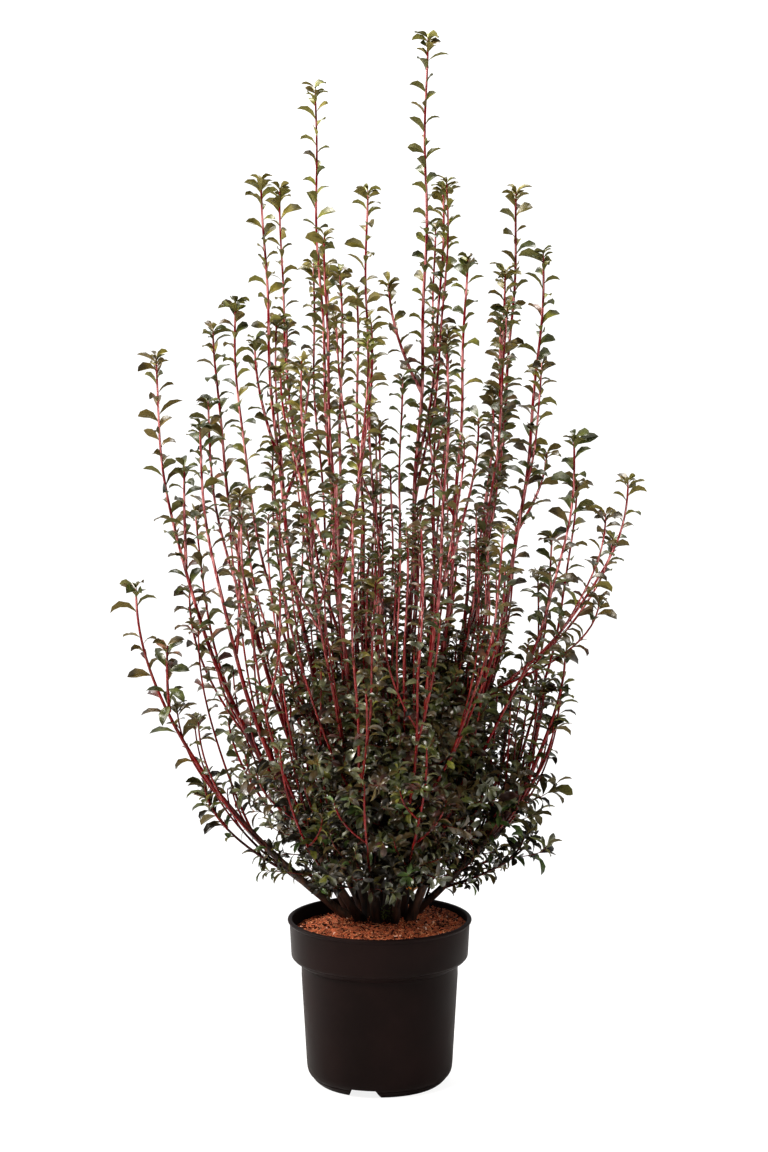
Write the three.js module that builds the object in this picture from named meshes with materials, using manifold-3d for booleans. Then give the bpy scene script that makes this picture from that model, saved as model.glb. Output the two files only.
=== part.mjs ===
// A many-stemmed evergreen shrub with red upright shoots, in a black nursery pot.
// Millimetres, +Z up. The origin is the middle of the pot's underside, on the floor.
// The view of the photograph looks along +Y, with +X to the right.
import * as THREE from "three";
import { mergeVertices } from "three/addons/utils/BufferGeometryUtils.js";
import Module from "manifold-3d";

const wasm = await Module();
wasm.setup();

// The pot: a thin-walled container with a deep collar, drawn from its outer sizes
const POT = {
  height: 255,
  rim: 140, // outer radius of the rolled lip
  lip: 4, // height of the lip
  collarTop: 137.5,
  collarFoot: 134.5,
  collarStart: 196, // height of the collar's lower edge
  tuck: 12, // height of the slope under the collar
  bodyTop: 120,
  base: 111,
  wall: 2.2,
  floor: 17, // height of the raised floor's upper face
  footRing: 5, // width of the ring that the pot stands on
  boss: 26, // radius of the flat boss under the middle of the floor, level with the ring
  sides: 36,
};
// Drainage notches cut through the foot ring, the first one a little left of the front
const NOTCH = { count: 3, first: -12, height: 14.5, top: 36, foot: 49 };

// The soil fills the pot to a low mound, flat where the stems stand
const SOIL = { mound: 253, moundRadius: 92, edge: 243, gap: 0.5 };
const GROUND = SOIL.mound + 0.3;

// The stems stand round this point of the mound
const CROWN = { x: 2, y: 24 };

// Each stem has its foot beside the crown's middle, its diameter there and the height of its bare limb's end.
// A shoot is [tip to the right, tip to the back, tip height, height of its fork], heights above the soil.
// The first shoot carries its stem on to the tip, and the others fork from the stem.
// A spray is the same for the short leafy growth low on the stem.
const STEMS = [
  {
    name: "far_left",
    foot: [-54, -6],
    girth: 13,
    limb: 190,
    shoots: [[-362, -60, 528, 0]],
    sprays: [[-266, -14, 222, 60]],
  },
  {
    name: "left",
    foot: [-44, 18],
    girth: 15,
    limb: 290,
    shoots: [[-337, 40, 862, 0], [-286, 180, 606, 150]],
    sprays: [[-235, 150, 290, 75]],
  },
  {
    name: "left_front",
    foot: [-33, -26],
    girth: 14,
    limb: 260,
    shoots: [[-262, -110, 775, 0], [-196, -226, 660, 130]],
    sprays: [[-142, -222, 318, 50]],
  },
  {
    name: "left_inner",
    foot: [-18, -4],
    girth: 16,
    limb: 330,
    shoots: [[-172, -14, 1126, 0], [-212, -52, 950, 190]],
    sprays: [],
  },
  {
    name: "left_back",
    foot: [-28, 42],
    girth: 14,
    limb: 280,
    shoots: [[-250, 106, 896, 0], [-168, 262, 700, 140]],
    sprays: [[-125, 226, 300, 60]],
  },
  {
    name: "middle_left",
    foot: [-8, 22],
    girth: 17,
    limb: 350,
    shoots: [[-94, 46, 1260, 0], [-152, 176, 1106, 200]],
    sprays: [],
  },
  {
    name: "middle_front",
    foot: [-7, -36],
    girth: 15,
    limb: 280,
    shoots: [[-76, -162, 1054, 0], [-112, -212, 878, 170], [-38, -290, 668, 120]],
    sprays: [[-22, -232, 268, 45]],
  },
  {
    name: "middle",
    foot: [10, -10],
    girth: 20,
    limb: 380,
    shoots: [[70, -8, 1332, 0], [-20, -84, 1114, 210]],
    sprays: [],
  },
  {
    name: "middle_back",
    foot: [2, 52],
    girth: 15,
    limb: 290,
    shoots: [[-34, 196, 950, 0], [-10, 312, 640, 130]],
    sprays: [[28, 232, 318, 60]],
  },
  {
    name: "right_front",
    foot: [19, -34],
    girth: 14,
    limb: 280,
    shoots: [[98, -182, 900, 0], [62, -292, 652, 120], [178, -236, 640, 160]],
    sprays: [[66, -238, 322, 55]],
  },
  {
    name: "right_inner",
    foot: [30, 4],
    girth: 18,
    limb: 360,
    shoots: [[126, -72, 1014, 0], [186, -26, 940, 220]],
    sprays: [],
  },
  {
    name: "right_back",
    foot: [22, 34],
    girth: 15,
    limb: 300,
    shoots: [[208, 128, 1104, 0], [84, 128, 1050, 170], [126, 296, 690, 120]],
    sprays: [[170, 182, 320, 70]],
  },
  {
    name: "right",
    foot: [46, -16],
    girth: 15,
    limb: 400,
    shoots: [[238, -64, 1024, 0], [372, -20, 682, 340], [282, -150, 760, 200]],
    sprays: [],
  },
  {
    name: "far_right",
    foot: [54, 20],
    girth: 12,
    limb: 210,
    shoots: [[274, -40, 428, 0], [298, 116, 660, 110]],
    sprays: [[232, -30, 150, 40]],
  },
];

// How stems and shoots bend and taper
const ARCH = 2.0; // how early a shoot turns upright
const LIMB = { steps: 5, sides: 7 };
const LIMB_TOP = 4.2; // radius where a bare limb enters its foliage
const FORK_RADIUS = 2.8; // radius of a shoot where it leaves its stem
const TIP_RADIUS = 1.1;
const RING_STEP = 120; // length of a shoot's straight pieces
const FLARE = { height: 22, gain: 0.35 }; // how far up and how much a stem widens at the soil
const FOOT_DEPTH = 14; // how far below the soil a stem's tube starts, before its foot is cut flat
const JOINT_GAP = 0.3; // clearance between a limb and the foliage it carries
const FINE = [0.001, 0.0001]; // grids that a fused mass's corners can be rounded to without touching

// Side shoots fork from a shoot and run up beside it. Pairs are the least and the most of a value.
const SIDE = {
  perRise: 330, // one side shoot for each of these in the shoot's own rise
  most: 2,
  forkAt: [0.12, 0.5], // along the shoot
  bearing: [0.35, 1.75], // radians to either side of the way inwards
  spread: [45, 95], // from the shoot's tip to its own, seen from above
  height: [0.7, 0.9], // of the shoot's height
  rise: 120, // at least this far up from its fork
  girth: 0.72, // of the shoot's
};
// A spray's twigs are short and fan outwards
const FAN = {
  twigs: 3,
  forkAt: [0.15, 0.7],
  bearing: [0.5, 1.1], // radians to either side of the way outwards
  length: [70, 120],
  steepness: 0.9, // radians above level
  girth: 0.6,
};

// Leaves, larger than life because each one stands for several
const LEAF = {
  long: 76, // low on a shoot
  short: 46, // at its tip
  width: 0.56, // of its length
  thick: 2,
  widest: 0.56, // where it is widest, from the stalk
  rise: 62, // degrees above square to the shoot, at the stalk
  droop: -46, // the same at its tip
  size: [0.9, 1.12], // drawn for each leaf
  spacing: 86, // along a shoot
  between: [0.06, 0.93], // the part of a shoot that bears them
  crown: 3, // leaves in the rosette at each tip
  crownBetween: [0.95, 0.995],
  shrink: [1, 0.8, 0.62], // sizes tried in turn until the leaf fits its space
};
const GOLDEN = THREE.MathUtils.degToRad(137.5);
const LEAF_ROOM = 3; // how much nearer a leaf keeps to its own mass than to any other
const TWIG_ROOM = 9; // the same for a twig
const BRANCH_TRIES = 12; // how often a twig is redrawn before it is left out

const COLOURS = { pot: 0x1b1716, soil: 0x7a4730, bark: 0x4a2b22, foliage: 0x4b5230 };

// A seeded stream of numbers from 0 to 1, the same on every run
function seeded(seed) {
  let state = seed | 0;
  return () => {
    state = (state + 0x6d2b79f5) | 0;
    let t = Math.imul(state ^ (state >>> 15), 1 | state);
    t = (t + Math.imul(t ^ (t >>> 7), 61 | t)) ^ t;
    return ((t ^ (t >>> 14)) >>> 0) / 4294967296;
  };
}
const between = (random, [low, high]) => low + (high - low) * random();

// The line of a stem or shoot: it leaves its foot leaning out and turns upright as it climbs
class ShootLine extends THREE.Curve {
  constructor(foot, tip, from = 0, to = 1) {
    super();
    Object.assign(this, { foot, tip, from, to });
  }
  getPoint(t, target = new THREE.Vector3()) {
    const s = this.from + (this.to - this.from) * t;
    const out = 1 - (1 - s) ** ARCH;
    return target.set(
      THREE.MathUtils.lerp(this.foot.x, this.tip.x, out),
      THREE.MathUtils.lerp(this.foot.y, this.tip.y, out),
      THREE.MathUtils.lerp(this.foot.z, this.tip.z, s),
    );
  }
  // The same line between two of its heights
  part(from, to) {
    return new ShootLine(this.foot, this.tip, from, to);
  }
}

// A closed tapering tube along a curve, with a flat cut at each end
function taperedTube(curve, steps, sides, radiusAt) {
  const frames = curve.computeFrenetFrames(steps);
  const position = [];
  for (let i = 0; i <= steps; i++) {
    const centre = curve.getPointAt(i / steps);
    for (let k = 0; k < sides; k++) {
      const angle = (k / sides) * 2 * Math.PI;
      const corner = centre
        .clone()
        .addScaledVector(frames.normals[i], Math.cos(angle) * radiusAt(i / steps))
        .addScaledVector(frames.binormals[i], Math.sin(angle) * radiusAt(i / steps));
      position.push(corner.x, corner.y, corner.z);
    }
  }
  const index = [];
  for (let i = 0; i < steps; i++) {
    for (let k = 0; k < sides; k++) {
      const a = i * sides + k;
      const b = i * sides + ((k + 1) % sides);
      index.push(a, b, a + sides, b, b + sides, a + sides);
    }
  }
  const last = steps * sides;
  for (let k = 1; k < sides - 1; k++) {
    index.push(0, k + 1, k, last, last + k, last + k + 1);
  }
  return geometryOf(position, index);
}

// A shoot's tube is straight between its rings, and this is its middle at a share of its length
const ringsAlong = (line) => Math.max(3, Math.round(line.getLength() / RING_STEP));
function middleOf(line, share) {
  const steps = ringsAlong(line);
  const ring = Math.min(Math.floor(share * steps), steps - 1);
  return line.getPointAt(ring / steps).lerp(line.getPointAt((ring + 1) / steps), share * steps - ring);
}

function geometryOf(position, index) {
  return new THREE.BufferGeometry()
    .setAttribute("position", new THREE.Float32BufferAttribute(position, 3))
    .setIndex(index);
}

// A leaf as a thin closed blade of six faces that rises from the shoot and bends over
function leafPoints(root, along, out, length) {
  const side = new THREE.Vector3().crossVectors(along, out).normalize();
  const rise = THREE.MathUtils.degToRad(LEAF.rise);
  const droop = THREE.MathUtils.degToRad(LEAF.droop);
  const angleAt = (s) => THREE.MathUtils.lerp(rise, droop, s);
  const arc = (end) => {
    const p = root.clone();
    const pieces = 6;
    for (let i = 0; i < pieces; i++) {
      const angle = angleAt((end * (i + 0.5)) / pieces);
      const step = (end * length) / pieces;
      p.addScaledVector(out, Math.cos(angle) * step).addScaledVector(along, Math.sin(angle) * step);
    }
    return p;
  };
  const middle = arc(LEAF.widest);
  const half = (LEAF.width * length) / 2;
  const above = along.clone().multiplyScalar(Math.cos(angleAt(LEAF.widest)));
  above.addScaledVector(out, -Math.sin(angleAt(LEAF.widest)));
  return [
    root,
    middle.clone().addScaledVector(side, half),
    middle.clone().addScaledVector(above, LEAF.thick),
    middle.clone().addScaledVector(side, -half),
    arc(1),
  ];
}

function leafGeometry(points) {
  const faces = [0, 2, 1, 0, 3, 2, 0, 1, 3, 4, 1, 2, 4, 2, 3, 4, 3, 1];
  return geometryOf(points.flatMap((p) => [p.x, p.y, p.z]), faces);
}

// Turns a three.js geometry into a solid that can be joined and cut
function solidOf(geometry) {
  const bare = geometry.clone();
  bare.deleteAttribute("normal");
  bare.deleteAttribute("uv");
  const merged = mergeVertices(bare, 1e-4);
  const vertProperties = merged.attributes.position.array;
  const triVerts = new Uint32Array(merged.index.array);
  return new wasm.Manifold(new wasm.Mesh({ numProp: 3, vertProperties, triVerts }));
}

function meshOf(name, solid, colour, roughness) {
  const { vertProperties, triVerts } = solid.getMesh();
  const geometry = geometryOf(vertProperties, new THREE.BufferAttribute(triVerts, 1));
  geometry.computeVertexNormals();
  const material = new THREE.MeshStandardMaterial({ color: colour, roughness, metalness: 0 });
  const mesh = new THREE.Mesh(geometry, material);
  mesh.name = name;
  return mesh;
}

// The pot's wall, raised floor and boss as one turned profile, with the notches cut from its foot ring
function pot() {
  const p = POT;
  const inner = (radius) => radius - p.wall;
  const profile = [
    [0, 0],
    [p.boss, 0],
    [p.boss, p.floor - p.wall],
    [p.base - p.footRing, p.floor - p.wall],
    [p.base - p.footRing, 0],
    [p.base, 0],
    [p.bodyTop, p.collarStart - p.tuck],
    [p.collarFoot - 3, p.collarStart - 1],
    [p.collarFoot, p.collarStart + 4],
    [p.collarTop, p.height - p.lip],
    [p.rim, p.height - p.lip + 1],
    [p.rim, p.height],
    [inner(p.collarTop), p.height],
    [inner(p.collarFoot), p.collarStart + 4],
    [inner(p.bodyTop), p.collarStart - p.tuck],
    [inner(p.base), p.floor],
    [0, p.floor],
  ].map(([radius, height]) => new THREE.Vector2(radius, height));
  const turned = new THREE.LatheGeometry(profile, p.sides).rotateX(Math.PI / 2);
  let solid = solidOf(turned);
  for (let k = 0; k < NOTCH.count; k++) {
    solid = solid.subtract(solidOf(notch(NOTCH.first + (k * 360) / NOTCH.count)));
  }
  return meshOf("pot", solid, COLOURS.pot, 0.45);
}

// A notch's cutter: a trapezium through the ring, turned to its bearing from the front
function notch(bearing) {
  const shape = new THREE.Shape();
  shape.moveTo(-NOTCH.foot / 2, -1);
  shape.lineTo(NOTCH.foot / 2, -1);
  shape.lineTo(NOTCH.top / 2, NOTCH.height);
  shape.lineTo(-NOTCH.top / 2, NOTCH.height);
  shape.closePath();
  const start = POT.base / 2;
  return new THREE.ExtrudeGeometry(shape, { depth: start + POT.wall, bevelEnabled: false })
    .rotateX(Math.PI / 2)
    .translate(0, -start, 0)
    .rotateZ(THREE.MathUtils.degToRad(bearing));
}

function soil() {
  const wallAt = (height) => {
    const low = POT.base - POT.wall;
    const high = POT.bodyTop - POT.wall;
    const share = (height - POT.floor) / (POT.collarStart - POT.tuck - POT.floor);
    return THREE.MathUtils.lerp(low, high, share) - SOIL.gap;
  };
  const shoulder = POT.collarStart - POT.tuck;
  const collar = POT.collarFoot - POT.wall - SOIL.gap;
  const profile = [
    [0, POT.floor + SOIL.gap],
    [wallAt(POT.floor) - 1, POT.floor + SOIL.gap],
    [wallAt(shoulder), shoulder],
    [collar, POT.collarStart + 5],
    [collar + 1, SOIL.edge],
    [SOIL.moundRadius, SOIL.mound],
    [0, SOIL.mound],
  ].map(([radius, height]) => new THREE.Vector2(radius, height));
  const turned = new THREE.LatheGeometry(profile, POT.sides).rotateX(Math.PI / 2);
  return meshOf("soil", solidOf(turned), COLOURS.soil, 0.95);
}

const standing = ([right, back, height]) => new THREE.Vector3(right, back, GROUND + height);

// Plans the lines of the whole shrub before anything is made solid, so that each piece knows its neighbours
function plan() {
  const limbs = [];
  const masses = [];
  for (const stem of STEMS) {
    const foot = new THREE.Vector3(CROWN.x + stem.foot[0], CROWN.y + stem.foot[1], GROUND);
    const [leading] = stem.shoots;
    const line = new ShootLine(foot, standing(leading));
    const limbEnd = stem.limb / leading[2];
    const limb = {
      name: stem.name + "_stem",
      line: line.part(-FOOT_DEPTH / leading[2], limbEnd),
      radiusAt: (u) => {
        const flare = FLARE.gain * Math.max(0, 1 - (u * stem.limb) / (FOOT_DEPTH + FLARE.height));
        return THREE.MathUtils.lerp(stem.girth / 2, LIMB_TOP, u ** 0.8) * (1 + flare);
      },
    };
    limbs.push(limb);
    stem.shoots.forEach((shoot, k) => {
      const onTip = k === 0;
      const leader = onTip ? line.part(limbEnd, 1) : forkedLine(line, shoot, leading[2]);
      const twigs = [{ line: leader, radius: onTip ? LIMB_TOP : FORK_RADIUS }];
      masses.push({ name: `${stem.name}_foliage_${k + 1}`, limb, onTip, twigs, branch: sideShoot });
    });
    stem.sprays.forEach((shoot, k) => {
      const twigs = [{ line: forkedLine(line, shoot, leading[2]), radius: FORK_RADIUS }];
      masses.push({ name: `${stem.name}_low_foliage_${k + 1}`, limb, onTip: false, twigs, branch: fanTwig });
    });
  }
  const spans = [
    ...limbs.flatMap((limb) => spansOf(limb.line, limb, limb.radiusAt(0.3))),
    ...masses.flatMap((mass) => spansOf(mass.twigs[0].line, mass, mass.twigs[0].radius)),
  ];
  const random = seeded(41);
  for (const mass of masses) branchOut(mass, spans, random);
  return { limbs, masses, spans };
}

// A shoot that forks from a stem's line at its own height
function forkedLine(stemLine, shoot, stemHeight) {
  return new ShootLine(stemLine.getPoint(shoot[3] / stemHeight), standing(shoot));
}

// Adds a mass's twigs one by one. A twig that would come too near another mass or a limb is drawn again.
function branchOut(mass, spans, random) {
  const leader = mass.twigs[0];
  const height = leader.line.getPoint(1).z - leader.line.getPoint(0).z;
  const wanted = mass.branch === fanTwig ? FAN.twigs : Math.min(SIDE.most, Math.floor(height / SIDE.perRise));
  for (let k = 0; k < wanted; k++) {
    for (let tries = 0; tries < BRANCH_TRIES; tries++) {
      const twig = mass.branch(leader, k, random);
      const points = twig.line.getPoints(12).slice(4);
      if (!keepsItsSpace(points, mass, spans, TWIG_ROOM)) continue;
      mass.twigs.push(twig);
      spans.push(...spansOf(twig.line, mass, twig.radius));
      break;
    }
  }
}

// A side shoot leans off its leader inwards or sideways, never out past the crown's edge
function sideShoot(leader, k, random) {
  const tip = leader.line.getPoint(1);
  const fork = middleOf(leader.line, between(random, SIDE.forkAt));
  const inward = Math.atan2(CROWN.y - tip.y, CROWN.x - tip.x);
  const bearing = inward + (k % 2 ? 1 : -1) * between(random, SIDE.bearing);
  const spread = between(random, SIDE.spread);
  const height = (tip.z - GROUND) * between(random, SIDE.height);
  const end = new THREE.Vector3(
    tip.x + Math.cos(bearing) * spread,
    tip.y + Math.sin(bearing) * spread,
    Math.max(GROUND + height, fork.z + SIDE.rise),
  );
  return { line: new ShootLine(fork, end), radius: leader.radius * SIDE.girth };
}

// A twig of a low spray is short and fans outwards
function fanTwig(leader, k, random) {
  const foot = leader.line.getPoint(0);
  const tip = leader.line.getPoint(1);
  const start = middleOf(leader.line, THREE.MathUtils.lerp(...FAN.forkAt, (k + 0.5) / FAN.twigs));
  const outward = Math.atan2(tip.y - foot.y, tip.x - foot.x);
  const bearing = outward + (k % 2 ? 1 : -1) * between(random, FAN.bearing);
  const length = between(random, FAN.length);
  const reach = length * Math.cos(FAN.steepness);
  const end = new THREE.Vector3(
    start.x + Math.cos(bearing) * reach,
    start.y + Math.sin(bearing) * reach,
    start.z + length * Math.sin(FAN.steepness),
  );
  return { line: new ShootLine(start, end), radius: leader.radius * FAN.girth };
}

// Straight pieces of a line, for measuring how near a point is to each limb and mass
function spansOf(line, owner, radius) {
  const points = line.getPoints(14);
  return points.slice(1).map((end, i) => ({ owner, radius, span: new THREE.Line3(points[i], end) }));
}

// True if every point is above the pot, lies nearer to its own mass than to any other and has room round it
function keepsItsSpace(points, mass, spans, room) {
  const nearest = new THREE.Vector3();
  return points.every((p) => {
    if (p.z < POT.height + room) return false;
    let own = Infinity;
    let other = Infinity;
    for (const { owner, radius, span } of spans) {
      span.closestPointToPoint(p, true, nearest);
      const away = nearest.distanceTo(p) - radius;
      if (owner === mass) own = Math.min(own, away);
      else other = Math.min(other, away);
    }
    return other > Math.max(own, 0) + room;
  });
}

// Leaves up one twig in a golden spiral, closing to a rosette at its tip
function leavesOn(twig, mass, spans, random) {
  const leaves = [];
  const places = [];
  const [first, last] = LEAF.between;
  const count = Math.floor((twig.line.getLength() * (last - first)) / LEAF.spacing);
  for (let k = 0; k < count; k++) places.push(THREE.MathUtils.lerp(first, last, (k + 0.6) / count));
  for (let k = 0; k < LEAF.crown; k++) {
    places.push(THREE.MathUtils.lerp(...LEAF.crownBetween, k / LEAF.crown));
  }
  let turn = random() * 2 * Math.PI;
  for (const place of places) {
    const root = middleOf(twig.line, place);
    const along = twig.line.getTangentAt(place);
    turn += GOLDEN;
    const out = new THREE.Vector3(0, 1, 0).cross(along).normalize().applyAxisAngle(along, turn);
    const length = THREE.MathUtils.lerp(LEAF.long, LEAF.short, place) * between(random, LEAF.size);
    for (const share of LEAF.shrink) {
      const points = leafPoints(root, along, out, length * share);
      if (!keepsItsSpace(points.slice(1), mass, spans, LEAF_ROOM)) continue;
      leaves.push(solidOf(leafGeometry(points)));
      break;
    }
  }
  return leaves;
}

// One mass of foliage, fused and cut clear of the limb that carries it.
// If two of its edges almost touch, the leaves are drawn again.
function foliage(mass, spans, clearLimb, random) {
  for (;;) {
    const solids = [];
    mass.twigs.forEach((twig, k) => {
      const line = mass.onTip && k === 0 ? offTheTip(twig.line) : twig.line;
      const radiusAt = (u) => THREE.MathUtils.lerp(twig.radius, TIP_RADIUS, u);
      solids.push(solidOf(taperedTube(line, ringsAlong(line), 3, radiusAt)));
      solids.push(...leavesOn(twig, mass, spans, random));
    });
    const fused = wasm.Manifold.union(solids);
    const pieces = (mass.onTip ? fused : fused.subtract(clearLimb)).decompose();
    const [largest] = pieces.sort((a, b) => b.volume() - a.volume());
    if (FINE.every((grid) => isSound(largest, grid))) return meshOf(mass.name, largest, COLOURS.foliage, 0.6);
  }
}

// True if every edge still joins just two faces when the corners are rounded to a fine grid
function isSound(solid, grid) {
  const { vertProperties, triVerts } = solid.getMesh();
  const cornerAt = (v) =>
    Array.from(vertProperties.subarray(v * 3, v * 3 + 3), (c) => Math.round(c / grid)).join();
  const faces = new Map();
  for (let t = 0; t < triVerts.length; t += 3) {
    const corners = [0, 1, 2].map((k) => cornerAt(triVerts[t + k]));
    if (new Set(corners).size < 3) continue;
    corners.forEach((corner, k) => {
      const edge = [corner, corners[(k + 1) % 3]].sort().join(" ");
      faces.set(edge, (faces.get(edge) ?? 0) + 1);
    });
  }
  return [...faces.values()].every((count) => count === 2);
}

// The line of a shoot that starts a joint's gap above its limb's tip
function offTheTip(line) {
  const gap = JOINT_GAP / line.foot.distanceTo(line.tip);
  return line.part(line.from + gap, line.to);
}

function shrub() {
  const group = new THREE.Group();
  const { limbs, masses, spans } = plan();
  const random = seeded(7);
  const clear = new Map();
  for (const limb of limbs) {
    const bare = solidOf(taperedTube(limb.line, LIMB.steps, LIMB.sides, limb.radiusAt));
    group.add(meshOf(limb.name, bare.trimByPlane([0, 0, 1], GROUND), COLOURS.bark, 0.8));
    const wider = (u) => (limb.radiusAt(u) + JOINT_GAP) / Math.cos(Math.PI / LIMB.sides);
    clear.set(limb, solidOf(taperedTube(limb.line, LIMB.steps, LIMB.sides, wider)));
  }
  for (const mass of masses) group.add(foliage(mass, spans, clear.get(mass.limb), random));
  return group;
}

const part = new THREE.Group();
part.add(pot(), soil(), shrub());

export default part;
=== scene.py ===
import math
from types import SimpleNamespace as Rule

import bpy
import numpy as np
from mathutils import Euler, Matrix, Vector, noise


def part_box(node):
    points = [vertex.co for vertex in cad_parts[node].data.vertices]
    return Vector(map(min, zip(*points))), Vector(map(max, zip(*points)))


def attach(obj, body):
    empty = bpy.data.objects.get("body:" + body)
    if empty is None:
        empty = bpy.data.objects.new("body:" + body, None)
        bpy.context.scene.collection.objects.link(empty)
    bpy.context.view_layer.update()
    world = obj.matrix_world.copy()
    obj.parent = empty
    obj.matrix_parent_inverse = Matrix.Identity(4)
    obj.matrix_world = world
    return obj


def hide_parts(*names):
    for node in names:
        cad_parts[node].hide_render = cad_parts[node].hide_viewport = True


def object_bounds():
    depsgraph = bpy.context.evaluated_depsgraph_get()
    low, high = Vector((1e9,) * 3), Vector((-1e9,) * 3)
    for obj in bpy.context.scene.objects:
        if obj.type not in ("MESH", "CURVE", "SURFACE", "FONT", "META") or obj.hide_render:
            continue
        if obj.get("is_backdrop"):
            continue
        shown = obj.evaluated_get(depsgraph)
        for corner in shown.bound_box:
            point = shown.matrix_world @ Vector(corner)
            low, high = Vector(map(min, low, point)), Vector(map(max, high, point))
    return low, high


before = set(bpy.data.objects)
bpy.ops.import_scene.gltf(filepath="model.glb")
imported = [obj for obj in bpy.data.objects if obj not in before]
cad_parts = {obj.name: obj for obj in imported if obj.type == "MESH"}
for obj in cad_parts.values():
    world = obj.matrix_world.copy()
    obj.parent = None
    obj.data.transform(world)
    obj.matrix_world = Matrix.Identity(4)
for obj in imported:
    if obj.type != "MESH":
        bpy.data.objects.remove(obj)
CAD_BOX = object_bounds()

# An evergreen shrub of many red upright shoots, in a black nursery pot. Metres, +Z up. The limbs and the
# first shoots repeat the growth of the frame's own solids, and finer twigs and leaves grow on from them.
MM = 0.001
POT_LOW, POT_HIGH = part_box("pot")
POT_HEIGHT = POT_HIGH.z
RIM_RADIUS = POT_HIGH.x
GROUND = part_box("middle_stem")[0].z
TOP = CAD_BOX[1][2]
CROWN = np.array([0.002, 0.024])

# Each stem in millimetres: its foot beside the crown's middle, its diameter there, the height of its bare
# limb's end, its shoots and its low sprays. A shoot or spray is its tip to the right, to the back and up, and
# the height of its fork, with heights above the soil. The first shoot carries its stem on to the tip.
STEMS = {
    "far_left": ((-54, -6), 13, 190, [(-362, -60, 528, 0)], [(-266, -14, 222, 60)]),
    "left": ((-44, 18), 15, 290, [(-337, 40, 862, 0), (-286, 180, 606, 150)], [(-235, 150, 290, 75)]),
    "left_front": (
        (-33, -26), 14, 260,
        [(-262, -110, 775, 0), (-196, -226, 660, 130)],
        [(-142, -222, 318, 50)],
    ),
    "left_inner": ((-18, -4), 16, 330, [(-172, -14, 1126, 0), (-212, -52, 950, 190)], []),
    "left_back": ((-28, 42), 14, 280, [(-250, 106, 896, 0), (-168, 262, 700, 140)], [(-125, 226, 300, 60)]),
    "middle_left": ((-8, 22), 17, 350, [(-94, 46, 1260, 0), (-152, 176, 1106, 200)], []),
    "middle_front": (
        (-7, -36), 15, 280,
        [(-76, -162, 1054, 0), (-112, -212, 878, 170), (-38, -290, 668, 120)],
        [(-22, -232, 268, 45)],
    ),
    "middle": ((10, -10), 20, 380, [(70, -8, 1332, 0), (-20, -84, 1114, 210)], []),
    "middle_back": ((2, 52), 15, 290, [(-34, 196, 950, 0), (-10, 312, 640, 130)], [(28, 232, 318, 60)]),
    "right_front": (
        (19, -34), 14, 280,
        [(98, -182, 900, 0), (62, -292, 652, 120), (178, -236, 640, 160)],
        [(66, -238, 322, 55)],
    ),
    "right_inner": ((30, 4), 18, 360, [(126, -72, 1014, 0), (186, -26, 940, 220)], []),
    "right_back": (
        (22, 34), 15, 300,
        [(208, 128, 1104, 0), (84, 128, 1050, 170), (126, 296, 690, 120)],
        [(170, 182, 320, 70)],
    ),
    "right": ((46, -16), 15, 400, [(238, -64, 1024, 0), (372, -20, 682, 340), (282, -150, 760, 200)], []),
    "far_right": ((54, 20), 12, 210, [(274, -40, 428, 0), (298, 116, 660, 110)], [(232, -30, 150, 40)]),
}

# How stems and shoots bend and taper
ARCH = 2.0  # how early a shoot turns upright
LIMB_TOP = 0.0042  # radius where a bare limb enters its foliage
FORK_RADIUS, TIP_RADIUS = 0.0028, 0.0016
LIMB_TAPER, SHOOT_TAPER = 0.8, 0.6
POINTED = 0.016  # length over which a shoot narrows to half at its tip
RING_STEP = 0.12  # between the rings of a shoot in the frame
FLARE_HEIGHT, FLARE_GAIN = 0.022, 0.35  # how far up a foot flares, and by what share of its radius
FOOT_DEPTH = 0.014  # how deep a stem stands in the soil
FRAME_SEED, FINE_SEED = 41, 12

# Slight bends, two to the side and two to the back, which are whole from a height above the soil. Each is its
# size in millimetres, the lengths of its waves up and beside the shoot, and its phase.
SWAY = ((1.8, 0.041, 0.06, 0), (1.5, 0.097, 0.045, 2), (1.8, 0.047, 0.06, 1), (1.5, 0.089, 0.05, 4))
SWAY_FROM = 0.25

# Side shoots run up beside their leader, and a spray's twigs fan outwards. Pairs are the least and the most.
SIDE = Rule(
    per_rise=0.33, most=2, fork=(0.12, 0.5), bearing=(0.35, 1.75), spread=(0.045, 0.095), height=(0.7, 0.9),
    rise=0.12, girth=0.72, tries=12, room=0.009,
)
FAN = Rule(twigs=3, fork=(0.15, 0.7), bearing=(0.5, 1.1), length=(0.07, 0.12), steepness=0.9, girth=0.6)
TESTED = np.linspace(0, 1, 13)[4:]  # shares of a new twig that have to stand clear of the rest
GIRTH_AT = 0.3  # share of a limb where its girth is taken for that test

# Finer growth, which is more open at the left than at the right. Young shoots run up beside an older one, and
# spurs are short and leafy, most of them low down.
OPEN = (-0.26, 0.08)
YOUNG = Rule(
    every=0.5, fork=(0.02, 0.5), spread=(0.02, 0.07), rise=(0.35, 0.72), girth=0.8, tip=0.0014, least=0.26,
    left=0.35, right=1.15,
)
INNER = Rule(
    left=7, right=21, fork=(0.12, 0.95), height=(0.2, 0.64), climb=0.12, below_tip=0.85, follow=(0.3, 0.9),
    stray=0.1, radius=0.0022, tip=0.0013,
)
SPUR = Rule(
    every=0.033, from_height=0.042, length=(0.035, 0.1), steep=(-0.05, 1.15), outward=1.1, radius=0.001,
    tip=0.0006,
)
# Where spurs and leaves crowd
HEART = Rule(middle=(0.022, -0.01, 0.12), reach=0.18, climb=0.33, fades=(0.36, 1.18))
# A fresh green tuft at the soil
SPROUT = Rule(
    foot=(0.016, -0.014), shoots=4, scatter=0.004, lean=0.008, sunk=0.004, height=(0.014, 0.032),
    radius=0.0008,
)

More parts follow.
